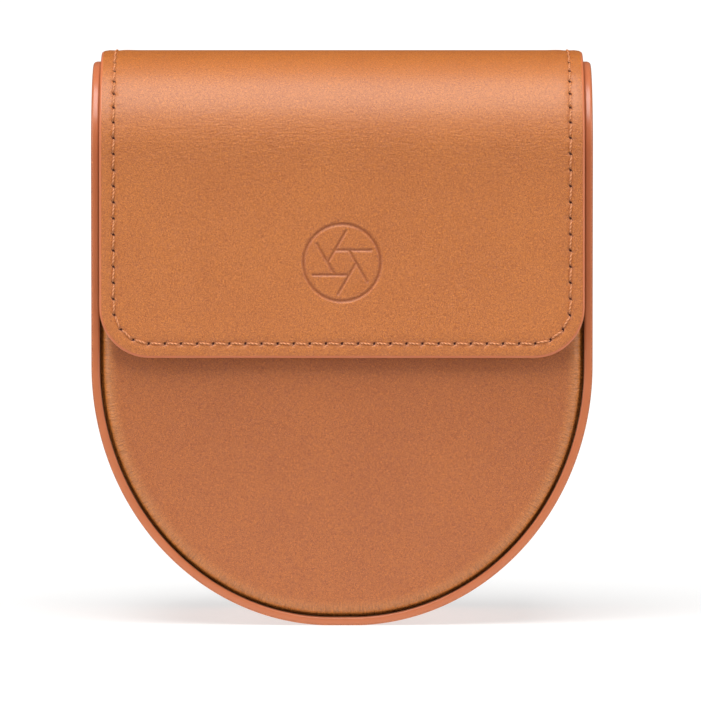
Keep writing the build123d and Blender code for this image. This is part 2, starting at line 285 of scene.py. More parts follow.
def bend_wall(piece, sag=0.0):
    """Bends flat work round the U. A sag draws the middle of its width in, below the painted edge."""
    flat = coordinates(piece)
    flat[:, 2] -= sag * (1 - (flat[:, 0] / RIM) ** 2) + PAINT_PROUD * (sag > 0)
    bent = place(WALL, flat[:, 1], -flat[:, 2])
    put(piece, np.stack([bent[:, 0], flat[:, 0], bent[:, 1]], -1))


STITCH_PITCH = 3.5
SEAM_MARGIN = 3.1      # from a row of stitches to the cut edge
SEAM_TOP = 96.9        # where the side seams stop below the ears
HOLE_SLANT = math.radians(-38)
HOLE_LENGTH, HOLE_WIDTH, HOLE_DEPTH = 0.54, 0.25, 0.32  # half lengths across the mouth of a hole
PULL_LENGTH, DIMPLE = 2.6, 0.05
NEAR = 3.0             # leather further than this from a hole isn't pulled


def holes_along(line, margin=0.0):
    """Places and directions of needle holes a pitch apart along a flat row, short of its ends by a margin."""
    reach = line["length"] - 2 * margin
    count = round(reach / STITCH_PITCH)
    runs = margin + np.arange(count + 1) / count * reach
    return read(line, "points", runs), read(line, "ahead", runs)


def sew(piece, rows, depth=0.16, width=0.42):
    """Pulls the leather down along rows of holes, and marks the holes themselves."""
    points = coordinates(piece)
    pierced, sunk = np.zeros(len(points)), np.zeros(len(points))
    turn_x, turn_y = math.cos(HOLE_SLANT), math.sin(HOLE_SLANT)
    for spots, ways in rows:
        for (x, y), (ahead_x, ahead_y) in zip(spots, ways):
            near = np.where((np.abs(points[:, 0] - x) < NEAR) & (np.abs(points[:, 1] - y) < NEAR))[0]
            if not len(near):
                continue
            dx, dy = points[near, 0] - x, points[near, 1] - y
            long_x = ahead_x * turn_x - ahead_y * turn_y
            long_y = ahead_x * turn_y + ahead_y * turn_x
            a = (dx * long_x + dy * long_y) / HOLE_LENGTH
            b = (dy * long_x - dx * long_y) / HOLE_WIDTH
            hole = np.exp(-(a * a + b * b) ** 1.5)
            pierced[near] = np.maximum(pierced[near], hole)
            along, off = dx * ahead_x + dy * ahead_y, dy * ahead_x - dx * ahead_y
            pull = np.exp(-(off / width) ** 2) * np.exp(-(along / PULL_LENGTH) ** 4) * depth
            dimple = DIMPLE * np.exp(-(dx * dx + dy * dy) / 1.2)
            sunk[near] = np.maximum(sunk[near], pull + dimple + HOLE_DEPTH * hole)
    points[:, 2] -= sunk
    put(piece, points)
    mark(piece, "pierced", pierced)


wall_rows = [holes_along(former([(at, 0), (at, WALL["length"])]), margin=EAR_TOP - SEAM_TOP)
             for at in (SEAM_MARGIN - RIM, RIM - SEAM_MARGIN)]

wall = blank("side_wall_leather", RIM, 0, WALL["length"], EAR_RADIUS, pitch=1.15)
refine(wall, lambda p: np.abs(np.abs(p[:, 0]) - (RIM - SEAM_MARGIN)) < 1.0, cuts=3)
chart(wall)
sew(wall, wall_rows, depth=0.30)
bend_wall(wall, WALL_SAG)
thicken(wall, WALL_SKIN)
smooth(wall)
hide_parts("gusset_leather")
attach(wall, "case")

WALL_LINING_SHORT = 0.25  # the lining stops this far inside the cut edge
wall_lining = blank("side_wall_lining", RIM - WALL_LINING_SHORT, WALL_LINING_SHORT,
                    WALL["length"] - WALL_LINING_SHORT, EAR_RADIUS, pitch=2.0)
chart(wall_lining)
raise_by(wall_lining, WALL_LINING - WALL_THICKNESS)
bend_wall(wall_lining)
thicken(wall_lining, WALL_LINING)
smooth(wall_lining)
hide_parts("gusset_lining")
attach(wall_lining, "case")


HAIR = 1e-6
LONGEST, BAND_PITCH = 3.0, 1.2  # a straight stretch longer than this is cut at this spacing


def edge_band(name, half_width, start, end, corner, open_start, rise, width):
    """A painted edge, still flat: a rounded band all round a blank, rise high and width wide."""
    bpy.ops.object.select_all(action="DESELECT")
    bpy.ops.mesh.primitive_plane_add(size=1)
    piece = named(name)
    points = coordinates(piece) * MM
    points[:, 0] *= 2 * half_width
    points[:, 1] = start + (points[:, 1] + 0.5) * (end - start)
    put(piece, points)
    open_up(piece, "VERT")
    bpy.ops.mesh.select_all(action="DESELECT")
    mesh = choose(piece, "verts", lambda v: not open_start or v.co.y > start * MM + HAIR)
    mesh.select_flush_mode()
    bmesh.update_edit_mesh(piece.data)
    bpy.ops.mesh.bevel(affect="VERTICES", offset=corner * MM, segments=max(8, round(corner * 1.6)))
    bpy.ops.mesh.select_all(action="SELECT")
    bpy.ops.mesh.delete(type="ONLY_FACE")
    bpy.ops.mesh.select_mode(type="EDGE")
    bpy.ops.mesh.select_all(action="DESELECT")
    if open_start:
        choose(piece, "edges", lambda edge: all(abs(v.co.y - start * MM) < HAIR for v in edge.verts))
        bpy.ops.mesh.delete(type="EDGE")
    mesh = bmesh.from_edit_mesh(piece.data)
    for edge in [edge for edge in mesh.edges if edge.calc_length() > LONGEST * MM]:
        cuts = max(1, round(edge.calc_length() / MM / BAND_PITCH))
        bmesh.ops.subdivide_edges(mesh, edges=[edge], cuts=cuts)
    bmesh.update_edit_mesh(piece.data)
    bpy.ops.mesh.select_all(action="SELECT")
    bpy.ops.mesh.extrude_region_move(TRANSFORM_OT_translate={"value": (0, 0, rise * MM)})
    bpy.ops.mesh.select_all(action="SELECT")
    bpy.ops.mesh.normals_make_consistent(inside=False)
    close_up()
    band = piece.modifiers.new("width", "SOLIDIFY")
    band.thickness, band.offset = width * MM, -1
    band.use_even_offset = True
    finish_with(piece, band)
    return piece


def round_edges(piece, radius, segments=3, angle=50, cut_at=None):
    """Rounds a band's long edges. A band that ends at a cut across Y ends there flush and closed."""
    open_up(piece)
    choose(piece, "faces", lambda face: cut_at is not None
           and all(abs(v.co.y / MM - cut_at) < 0.01 for v in face.verts))
    bpy.ops.mesh.delete(type="ONLY_FACE")
    close_up()
    soft = piece.modifiers.new("rounding", "BEVEL")
    soft.width, soft.segments = radius * MM, segments
    soft.limit_method, soft.angle_limit = "ANGLE", math.radians(angle)
    finish_with(piece, soft)
    open_up(piece)
    bpy.ops.mesh.fill_holes(sides=0)
    bpy.ops.mesh.normals_make_consistent(inside=False)
    close_up()


EDGE_PROUD = 0.08      # how far the paint stands past the cut edge
wall_edge = edge_band("side_wall_painted_edge", RIM + EDGE_PROUD, -EDGE_PROUD, WALL["length"] + EDGE_PROUD,
                      EAR_RADIUS, open_start=False, rise=WALL_THICKNESS + 0.05, width=1.2)
round_edges(wall_edge, radius=0.80, segments=6)
raise_by(wall_edge, -WALL_THICKNESS)
chart(wall_edge)
along = coordinates(wall_edge)[:, 1]
overshoot = np.clip(-along, 0, None) + np.clip(along - WALL["length"], 0, None)
bend_wall(wall_edge)
raise_by(wall_edge, overshoot)
smooth(wall_edge, 60)
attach(wall_edge, "case")


# -------------------------------------------------------------------- tan leather
def linear(colour):
    """An sRGB hex colour as linear light."""
    parts = [int(colour[k:k + 2], 16) / 255 for k in (1, 3, 5)]
    return [c / 12.92 if c <= 0.04045 else ((c + 0.055) / 1.055) ** 2.4 for c in parts] + [1.0]


def fill(node, sockets):
    """Sets a node's sockets, or links those whose value is the output of another node."""
    for key, value in sockets.items():
        if isinstance(value, bpy.types.NodeSocket):
            node.id_data.links.new(value, node.inputs[key])
        else:
            node.inputs[key].default_value = value


def add(tree, kind, sockets=None, out=0, **settings):
    """Adds a node with its settings and links, and gives back one of its outputs."""
    made = tree.nodes.new("ShaderNode" + kind)
    for key, value in settings.items():
        setattr(made, key, value)
    fill(made, sockets or {})
    return made.outputs[out]


def material(name):
    """A new surface with its node tree and its shader."""
    surface = bpy.data.materials.new(name)
    surface.use_nodes = True
    return surface, surface.node_tree, surface.node_tree.nodes["Principled BSDF"]


GRAIN = 0.62        # one pebble of the grain, across
PORE = 0.32         # real pores are a tenth of a millimetre, drawn this coarse so that they show
CLOUD = 17.0        # slow drift of the dye
COLOUR = {"data_type": "RGBA", "out": 2}  # a Mix node that mixes two colours
FLAT = {"noise_dimensions": "2D"}
WANDER = (1.1, 0.55)   # spacing and reach of the bends that keep the pebbles from lining up
FOLD = (1.5, 0.55)  # length and width of a fold where the flap bends
FOLDS_AT = 33.0     # the folds lie round this distance from the top of the flap
PLEAT = (0.42, 1.8)  # width and length of a crease on a turned edge
# Colours of painted light: painted shade in pressed grooves and in needle holes, and a painted gold highlight
# on a turned edge.
GROOVE_SHADE_RED, HOLE_SHADE_BROWN, ROLL_HIGHLIGHT_GOLD = "#8C3A08", "#4E1408", "#E0954A"


# Full-grain cowhide, dyed tan and lightly finished. It gives a fine pebble with painted shade in its valleys,
# fine pores drawn in two browns as painted light and shade, and a satin glow on the bends. A flap has folds
# across its bend, and an edge that is turned in over foam gets a painted gold highlight, and painted light
# and shade on its short creases.
def tan_leather(name, dark, light, creased=False, turned=False):
    surface, tree, shader = material(name)
    hide = add(tree, "UVMap", uv_map="cut")
    bend = add(tree, "TexNoise", {"Vector": hide, "Scale": 1 / WANDER[0], "Detail": 2.0}, out="Color", **FLAT)
    nudge = add(tree, "VectorMath", {0: bend, 1: (0.5, 0.5, 0.5)}, operation="SUBTRACT")
    moved = add(tree, "VectorMath", {0: nudge, "Scale": WANDER[1]}, operation="SCALE")
    wandering = add(tree, "VectorMath", {0: hide, 1: moved}, operation="ADD")
    pebble = add(tree, "TexVoronoi", {"Vector": wandering, "Scale": 1 / GRAIN},
                 voronoi_dimensions="2D", feature="DISTANCE_TO_EDGE")
    valley = add(tree, "MapRange", {"Value": pebble, "From Min": 0.0, "From Max": 0.26},
                 interpolation_type="SMOOTHSTEP")
    pores = add(tree, "TexNoise", {"Vector": hide, "Scale": 1 / PORE, "Detail": 4.0, "Roughness": 0.7,
                                   "Distortion": 1.6}, **FLAT)
    clouds = add(tree, "TexNoise", {"Vector": hide, "Scale": 1 / CLOUD, "Detail": 3.0, "Roughness": 0.55},
                 **FLAT)
    # Painted light and shade: the pores, which are also the bump, are drawn lighter where raised and darker
    # where sunk; the clouds add a slow drift of the dye.
    tone_and_shade = add(tree, "Math", {0: clouds, 1: 0.06, 2: pores}, operation="MULTIPLY_ADD")
    tone_and_shade = add(tree, "MapRange", {"Value": tone_and_shade, "From Min": 0.42, "From Max": 0.64})
    base = add(tree, "Mix", {0: tone_and_shade, 6: linear(dark), 7: linear(light)}, **COLOUR)
    # Painted shade: the valleys between the pebbles are drawn up to a tenth darker.
    valley_shade = add(tree, "MapRange", {"Value": valley, "To Min": 0.90, "To Max": 1.0})
    base = add(tree, "Mix", {0: 1.0, 6: base, 7: valley_shade}, **COLOUR, blend_type="MULTIPLY")
    # Painted shade: where the ring and blades are pressed in, the colour is drawn towards a dark red.
    pressed = add(tree, "Attribute", attribute_name="pressed", out="Fac")
    deep = add(tree, "MapRange", {"Value": pressed, "To Max": 0.40})
    base = add(tree, "Mix", {0: deep, 6: base, 7: linear(GROOVE_SHADE_RED)}, **COLOUR)
    # Painted shade: the needle holes are drawn dark brown.
    pierced = add(tree, "Attribute", attribute_name="pierced", out="Fac")
    hole = add(tree, "MapRange", {"Value": pierced, "From Min": 0.2, "From Max": 0.55})
    base = add(tree, "Mix", {0: hole, 6: base, 7: linear(HOLE_SHADE_BROWN)}, **COLOUR)
    if turned:
        share = add(tree, "Attribute", attribute_name="turned", out="Fac")
        along = add(tree, "Attribute", attribute_name="along_edge", out="Fac")
        inwards = add(tree, "Attribute", attribute_name="from_edge", out="Fac")
        fade = add(tree, "MapRange", {"Value": inwards, "From Min": 0.8, "From Max": 3.6,
                                      "To Min": 1.0, "To Max": 0.0}, interpolation_type="SMOOTHSTEP")
        share = add(tree, "Math", {0: share, 1: fade}, operation="MULTIPLY")
        line = add(tree, "Math", {0: along, 1: 1 / PLEAT[0]}, operation="MULTIPLY")
        reach = add(tree, "Math", {0: inwards, 1: 1 / PLEAT[1]}, operation="MULTIPLY")
        spot = add(tree, "CombineXYZ", {0: line, 1: reach})
        pleat = add(tree, "TexNoise", {"Vector": spot, "Scale": 1.0, "Detail": 2.0, "Distortion": 0.35},
                    **FLAT)
        pleat = add(tree, "MapRange", {"Value": pleat, "From Min": 0.3, "From Max": 0.7,
                                       "To Min": -1.0})
        pleat = add(tree, "Math", {0: pleat, 1: share}, operation="MULTIPLY")
        # Painted light and shade: the creases are drawn lighter and darker, and the turned edge is drawn
        # towards a light gold as a painted highlight.
        shade = add(tree, "MapRange", {"Value": pleat, "From Min": -1.0,
                                       "To Min": 0.84, "To Max": 1.18})
        pulled = add(tree, "MapRange", {"Value": share, "To Max": 0.32})
        base = add(tree, "Mix", {0: pulled, 6: base, 7: linear(ROLL_HIGHLIGHT_GOLD)}, **COLOUR)
        base = add(tree, "Mix", {0: 1.0, 6: base, 7: shade}, **COLOUR, blend_type="MULTIPLY")
    height = add(tree, "Bump", {"Height": clouds, "Distance": 0.05 * MM})
    height = add(tree, "Bump", {"Height": valley, "Distance": 0.010 * MM, "Normal": height})
    height = add(tree, "Bump", {"Height": pores, "Distance": 0.12 * MM, "Normal": height})
    if creased:
        stretch = add(tree, "Mapping", {"Vector": hide, "Scale": (1 / FOLD[0], 1 / FOLD[1], 1)})
        folds = add(tree, "TexNoise", {"Vector": stretch, "Scale": 1.0, "Detail": 3.0,
                                       "Distortion": 0.6}, **FLAT)
        along = add(tree, "SeparateXYZ", {0: hide}, out=1)
        distance = add(tree, "Math", {0: along, 1: FOLDS_AT}, operation="SUBTRACT")
        distance = add(tree, "Math", {0: distance}, operation="ABSOLUTE")
        where = add(tree, "MapRange", {"Value": distance, "From Min": 3.0, "From Max": 14.0,
                                       "To Min": 1.0, "To Max": 0.0}, interpolation_type="SMOOTHSTEP")
        folds = add(tree, "Math", {0: folds, 1: where}, operation="MULTIPLY")
        height = add(tree, "Bump", {"Height": folds, "Distance": 0.16 * MM, "Normal": height})
    if turned:
        height = add(tree, "Bump", {"Height": pleat, "Distance": 0.07 * MM, "Normal": height})
    rough = add(tree, "MapRange", {"Value": valley, "To Min": 0.50, "To Max": 0.37})
    rough = add(tree, "Math", {0: rough, 1: hole}, operation="ADD", use_clamp=True)
    fill(shader, {"Base Color": base, "Normal": height, "Roughness": rough, "IOR": 1.6,
                  "Coat Weight": 0.45, "Coat Roughness": 0.40})
    return surface


WALL_LEATHER = tan_leather("tan_cowhide_wall", "#A95014", "#DC823C")
wall.data.materials.append(WALL_LEATHER)


# Acrylic edge paint, laid on thick and polished: a smooth pinkish salmon bead.
def edge_paint(name, dark, light):
    surface, tree, shader = material(name)
    spot = add(tree, "TexCoord", out="Object")
    uneven = add(tree, "TexNoise", {"Vector": spot, "Scale": 1 / (4 * MM), "Detail": 2.0})
    colour = add(tree, "Mix", {0: uneven, 6: linear(dark), 7: linear(light)}, **COLOUR)
    ripple = add(tree, "TexNoise", {"Vector": spot, "Scale": 1 / (1.1 * MM), "Detail": 2.0})
    bump = add(tree, "Bump", {"Height": ripple, "Distance": 0.02 * MM})
    fill(shader, {"Base Color": colour, "Normal": bump, "Roughness": 0.30})
    return surface


EDGE_PAINT = edge_paint("salmon_edge_paint", "#BD6B44", "#C7754D")
# The flap's edge gets the same paint drawn lighter, a painted highlight where its small round bead catches
# the light.
LIT_FLAP_PAINT = edge_paint("salmon_edge_paint_thin_lit", "#C96F45", "#D27A50")
wall_edge.data.materials.append(EDGE_PAINT)


# Microfibre suede: a warm brown nap about half a millimetre deep, with strokes where it was brushed.
def microsuede():
    surface, tree, shader = material("brown_microsuede")
    hide = add(tree, "UVMap", uv_map="cut")
    nap = add(tree, "TexNoise", {"Vector": hide, "Scale": 1 / 0.5, "Detail": 4.0, "Roughness": 0.7})
    stroke = add(tree, "TexNoise", {"Vector": hide, "Scale": 1 / 14, "Detail": 2.0, "Distortion": 1.0})
    tone_and_shade = add(tree, "Mix", {0: stroke, 6: linear("#6B4329"), 7: linear("#865A3A")}, **COLOUR)
    shade = add(tree, "MapRange", {"Value": nap, "From Min": 0.3, "From Max": 0.7,
                                   "To Min": 0.78, "To Max": 1.1})
    tone_and_shade = add(tree, "Mix", {0: 1.0, 6: tone_and_shade, 7: shade}, **COLOUR, blend_type="MULTIPLY")
    bump = add(tree, "Bump", {"Height": nap, "Distance": 0.08 * MM})
    fill(shader, {"Base Color": tone_and_shade, "Normal": bump, "Roughness": 0.95, "Sheen Weight": 0.25,
                  "Sheen Tint": linear("#B98A66"), "Sheen Roughness": 0.4})
    return surface


SUEDE = microsuede()
wall_lining.data.materials.append(SUEDE)

# ==================================================================== thread
# Waxed polyester thread in two plies, half a millimetre thick, sewn 3.5 mm to the stitch.
# Each stitch lies a little askew and dives into a slanted hole at either end.
STITCH_LENGTH, STITCH_STEPS = 3.1, 8
THREAD_RADIUS = 0.21
TUCK, ARCH = -0.28, 0.36    # depth of a stitch's ends, and how far its middle rises from there
ASKEW = math.radians(5)
TWIST = 0.85           # length of one turn of a ply


def one_stitch():
    """A single stitch along X: a six-sided strand with both ends pulled down into the leather."""
    bpy.ops.object.select_all(action="DESELECT")
    size, height = 0.5, TUCK
    bpy.ops.mesh.primitive_circle_add(vertices=6, radius=size * THREAD_RADIUS * MM, fill_type="NGON",
                                      location=(-STITCH_LENGTH / 2 * MM, 0, TUCK * MM),
                                      rotation=(0, math.pi / 2, 0))
    strand = named("stitch")
    bpy.ops.object.transform_apply()
    open_up(strand)
    for k in range(1, STITCH_STEPS + 1):
        arch = 1 - abs(2 * k / STITCH_STEPS - 1) ** 3
        new_size, new_height = 0.5 + 0.55 * arch ** 0.6, TUCK + ARCH * arch
        bpy.ops.mesh.extrude_region_move(TRANSFORM_OT_translate={
            "value": (STITCH_LENGTH / STITCH_STEPS * MM, 0, (new_height - height) * MM)})
        bpy.ops.transform.resize(value=(1, new_size / size, new_size / size))
        size, height = new_size, new_height
    bpy.ops.mesh.select_all(action="SELECT")
    bpy.ops.mesh.normals_make_consistent(inside=False)
    close_up()
    smooth(strand, 80)
    return strand


STITCH = one_stitch()
STITCH_POINTS = coordinates(STITCH)
STITCH_FACES = [list(face.vertices) for face in STITCH.data.polygons]
bpy.data.objects.remove(STITCH)


def thread(name, rows, height, under=None):
    """Flat rows of stitches from hole to hole, on top at a height, and under the work if given."""
    points, faces, twist = [], [], []
    for spots, ways in rows:
        for first, last in zip(spots[:-1], spots[1:]):
            middle, way = (first + last) / 2, (last - first) / np.linalg.norm(last - first)
            across = np.array([-way[1], way[0]])
            reach = np.linalg.norm(last - first) / STITCH_PITCH
            for level, up in ((height, 1), (under, -1)):
                if level is None:
                    continue
                ahead = way * math.cos(ASKEW * up) + across * math.sin(ASKEW * up)
                beside = np.array([-ahead[1], ahead[0]]) * up
                flat = (middle + np.outer(STITCH_POINTS[:, 0] * reach, ahead)
                        + np.outer(STITCH_POINTS[:, 1], beside))
                start = len(points) * len(STITCH_POINTS)
                points.append(np.column_stack([flat, level + STITCH_POINTS[:, 2] * up]))
                faces += [[start + v for v in face] for face in STITCH_FACES]
                angle = np.arctan2(STITCH_POINTS[:, 2], STITCH_POINTS[:, 1]) / (2 * math.pi)
                twist.append(np.stack([STITCH_POINTS[:, 0], angle], -1))
    mesh = bpy.data.meshes.new(name)
    mesh.from_pydata(np.concatenate(points) * MM, [], faces)
    piece = bpy.data.objects.new(name, mesh)
    bpy.context.scene.collection.objects.link(piece)
    chart(piece, np.concatenate(twist))
    mesh.materials.append(THREAD)
    return piece


# Polyester thread in two plies, waxed: orange-brown, lit on top of each ply and darker between them.
def waxed_thread():
    surface, tree, shader = material("waxed_polyester_thread")
    lay = add(tree, "UVMap", uv_map="cut")
    run, turn = [add(tree, "SeparateXYZ", {0: lay}, out=k) for k in (0, 1)]
    turn = add(tree, "Math", {0: turn, 1: 2 * math.tau}, operation="MULTIPLY")
    run = add(tree, "Math", {0: run, 1: math.tau / TWIST}, operation="MULTIPLY")
    phase = add(tree, "Math", {0: turn, 1: run}, operation="ADD")
    ply = add(tree, "Math", {0: phase}, operation="SINE")
    lit = add(tree, "MapRange", {"Value": ply, "From Min": -1.0, "From Max": 0.6})
    colour = add(tree, "Mix", {0: lit, 6: linear("#B5683A"), 7: linear("#E69C68")}, **COLOUR)
    bump = add(tree, "Bump", {"Height": ply, "Distance": 0.05 * MM})
    fill(shader, {"Base Color": colour, "Normal": bump, "Roughness": 0.5})
    return surface


THREAD = waxed_thread()

for name, row in (("front_seam_thread", wall_rows[0]), ("back_seam_thread", wall_rows[1])):
    seam_thread = thread(name, [row], height=-0.30)
    bend_wall(seam_thread, WALL_SAG)
    smooth(seam_thread, 80)
    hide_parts(name.replace("thread", "stitching"))
    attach(seam_thread, "case")

# ==================================================================== flap
# One piece of tan leather on a fibre core with a suede lining. It is sewn all round, its edge is
# painted, and a round mark is pressed into it. It is worked flat, then laid over the ears:
# down the front it leans on the padding, and behind it is sewn to the back.
FLAP_HALF, FLAP_REAR, FLAP_TOP = between(*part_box("flap_roll_leather"))[1]
DOME = 21.8            # outside radius of the roll-over
DOME_Y = FLAP_REAR - DOME
LEAN = math.radians(2.2)    # how far the padding leans the front outwards
HEM = 0.40             # taken off the front's length when its edge is painted
FRONT_CORNER, BACK_CORNER = 11.0, 6.0
FLAP_LINING, FLAP_CORE, FLAP_SKIN = 0.5, 1.0, 0.9
FLAP_THICKNESS = FLAP_LINING + FLAP_CORE + FLAP_SKIN
front_arc = DOME * (math.pi / 2 - LEAN)
dome_end = FLAP_TOP - DOME + DOME * math.sin(LEAN)
front_leg = (dome_end - between(*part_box("flap_front_leather"))[0][2]) / math.cos(LEAN) - HEM
back_arc = DOME * math.pi / 2
back_leg = FLAP_TOP - DOME - between(*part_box("flap_tail_leather"))[0][2]
FRONT_END = DOME_Y + front_arc + front_leg
BACK_END = DOME_Y + back_arc + back_leg
SPARE = 5              # a former runs on past the end of its work
# Both halves are traced from the top centre, and height is measured outwards from the outside face.
FRONT_FORMER = former(trace((0, FLAP_TOP), 180, (DOME_Y, 0), (front_arc, 90 - math.degrees(LEAN)),
                            (front_leg + SPARE, 0)))
BACK_FORMER = former(trace((0, FLAP_TOP), 0, (DOME_Y, 0), (back_arc, -90), (back_leg + SPARE, 0)))


def turn_out(piece):
    """Turns the faces of a piece whose bend has mirrored it, so that they point outwards again."""
    open_up(piece)
    bpy.ops.mesh.flip_normals()
    close_up()


def lay_over(piece, line, up, across=1):
    """Lays flat work over a former seen from the side. Its X stays, or is mirrored."""
    flat = coordinates(piece)
    bent = place(line, flat[:, 1], up * flat[:, 2])
    put(piece, np.stack([across * flat[:, 0], bent[:, 0], bent[:, 1]], -1))


def lay_front(piece):
    lay_over(piece, FRONT_FORMER, -1)
    turn_out(piece)


def lay_back(piece):
    lay_over(piece, BACK_FORMER, 1)


EMBLEM_HEIGHT, EMBLEM_RADIUS = 79.3, 8.35
EMBLEM_ALONG = DOME_Y + front_arc + (dome_end - EMBLEM_HEIGHT) / math.cos(LEAN)
RING_DEPTH, RING_WIDTH = 0.36, 0.36
BLADE_DEPTH, BLADE_WIDTH = 0.30, 0.30
BLADES, OPENING, BLADE_MARGIN = 6, 3.1, 1.5
PILLOW = 0.12          # the leather inside the ring stands a little proud


def row_round(half_width, end, corner):
    """The line of holes round one half of the flap, from the top centre to the top centre."""
    return former(trace((-half_width, 0), 90, (end - corner, 0), (corner * math.pi / 2, -90),
                        (2 * (half_width - corner), 0), (corner * math.pi / 2, -90), (end - corner, 0)))


front_row = row_round(FLAP_HALF - SEAM_MARGIN, FRONT_END - SEAM_MARGIN, FRONT_CORNER - SEAM_MARGIN)
back_row = row_round(FLAP_HALF - SEAM_MARGIN, BACK_END - SEAM_MARGIN, BACK_CORNER - SEAM_MARGIN)
front_holes, back_holes = holes_along(front_row), holes_along(back_row)


def from_line(points, ends):
    """Distance of flat points from a straight line between two ends."""
    (ax, ay), (bx, by) = ends
    length = math.hypot(bx - ax, by - ay)
    t = np.clip(((points[:, 0] - ax) * (bx - ax) + (points[:, 1] - ay) * (by - ay)) / length ** 2, 0, 1)
    return np.hypot(points[:, 0] - ax - t * (bx - ax), points[:, 1] - ay - t * (by - ay))


def press_emblem(piece):
    """Presses a ring, and inside it the six blades of a plain aperture, into the flat leather."""
    points = coordinates(piece)
    local = points[:, :2] - (0, EMBLEM_ALONG)
    radius = np.hypot(local[:, 0], local[:, 1])
    sunk = RING_DEPTH * np.exp(-(np.abs(radius - EMBLEM_RADIUS) / RING_WIDTH) ** 3)
    lines = np.full(len(points), 99.0)
    reach = EMBLEM_RADIUS - BLADE_MARGIN
    for turn in np.arange(BLADES) * math.tau / BLADES:
        start = OPENING * np.array([math.cos(turn), math.sin(turn)])
        turn += 2 * math.tau / BLADES
        way = np.array([math.cos(turn), math.sin(turn)])
        ahead = start @ way
        end = start + way * (-ahead + math.sqrt(ahead ** 2 + reach ** 2 - OPENING ** 2))
        lines = np.minimum(lines, from_line(local, (start, end)))
    sunk = np.maximum(sunk, BLADE_DEPTH * np.exp(-(lines / BLADE_WIDTH) ** 3))
    pillow = PILLOW * np.clip(1 - (radius / (EMBLEM_RADIUS - 0.6)) ** 2, 0, 1)
    points[:, 2] += np.where(radius < EMBLEM_RADIUS, pillow, 0) - sunk
    put(piece, points)
    mark(piece, "pressed", sunk / RING_DEPTH)


def edge_fall(piece, end, corner, depth=0.62, reach=1.5):
    """The skived edge: the face falls away near the cut, and swells a little inside the seam."""
    inset = inset_of(coordinates(piece), FLAP_HALF, end, corner)
    share = np.clip(1 - inset / reach, 0, 1)
    swell = 0.05 * np.exp(-((inset - SEAM_MARGIN - 2.2) / 1.4) ** 2)
    raise_by(piece, swell - depth * (1 - np.sqrt(1 - 0.96 * share ** 2)))


SKIN_SHORT, CORE_SHORT, LINING_SHORT = 0.5, 0.55, 0.2  # each layer stops inside the painted edge
UNDERSIDE = 0.12       # the stitches behind lie this deep in the lining


def flap_half(side, end, corner, lay, holes):
    """All the layers of the front or back half of the flap, from the outside inwards."""

    def layer(word, short, corner_short, pitch, height=0.0):
        piece = blank(f"flap_{side}_{word}", FLAP_HALF - short, 0, end - short, corner - corner_short, pitch,
                      ends=(False, True))
        raise_by(piece, height)
        return piece

    skin = layer("cowhide", SKIN_SHORT, SKIN_SHORT, 1.0)
    if side == "front":
        refine(skin, lambda p: np.hypot(p[:, 0], p[:, 1] - EMBLEM_ALONG) < EMBLEM_RADIUS + 0.9, cuts=6)
    refine(skin, lambda p: np.abs(inset_of(p, FLAP_HALF, end, corner) - SEAM_MARGIN) < 0.9, cuts=3)
    chart(skin)
    sew(skin, [holes])
    edge_fall(skin, end, corner)
    if side == "front":
        press_emblem(skin)
    core = layer("stiffener", CORE_SHORT, SKIN_SHORT, 2.0, -FLAP_SKIN - 0.02)
    chart(core)
    lining = layer("suede", LINING_SHORT, LINING_SHORT, 1.0, FLAP_LINING - FLAP_THICKNESS)
    chart(lining)
    made = {"leather": (skin, FLAP_SKIN), "core": (core, FLAP_CORE - 0.04), "lining": (lining, FLAP_LINING)}
    for piece, thickness in made.values():
        lay(piece)
        thicken(piece, thickness)
        smooth(piece)
    edge = edge_band(f"flap_{side}_painted_edge", FLAP_HALF + 0.02, 0, end + 0.02, corner, open_start=True,
                     rise=FLAP_THICKNESS - 0.22, width=1.1)
    round_edges(edge, radius=0.52, segments=5, cut_at=0)
    raise_by(edge, -FLAP_THICKNESS)
    chart(edge)
    lay(edge)
    smooth(edge, 60)
    made["painted_edge"] = (edge, 0)
    strands = thread(f"flap_{side}_thread", [holes], height=-0.10, under=UNDERSIDE - FLAP_THICKNESS)
    lay(strands)
    smooth(strands, 80)
    made["thread"] = (strands, 0)
    for piece, _ in made.values():
        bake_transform(piece)
    return {layer: piece for layer, (piece, _) in made.items()}


front_flap = flap_half("front", FRONT_END, FRONT_CORNER, lay_front,
                       front_holes)
back_flap = flap_half("back", BACK_END, BACK_CORNER, lay_back,
                      back_holes)
FLAP_LEATHER = tan_leather("tan_cowhide_flap", "#A85109", "#DB822E", creased=True)


def filling(name, kind, pattern, dark, light, depth, roughness):
    """A matt filling in two colours, whose fibres or cells are also its roughness."""
    surface, tree, shader = material(name)
    spot = add(tree, "TexCoord", out="Object")
    cells = add(tree, kind, {"Vector": spot, **pattern})
    colour = add(tree, "Mix", {0: cells, 6: linear(dark), 7: linear(light)}, **COLOUR)
    bump = add(tree, "Bump", {"Height": cells, "Distance": depth * MM})
    fill(shader, {"Base Color": colour, "Normal": bump, "Roughness": roughness})
    return surface


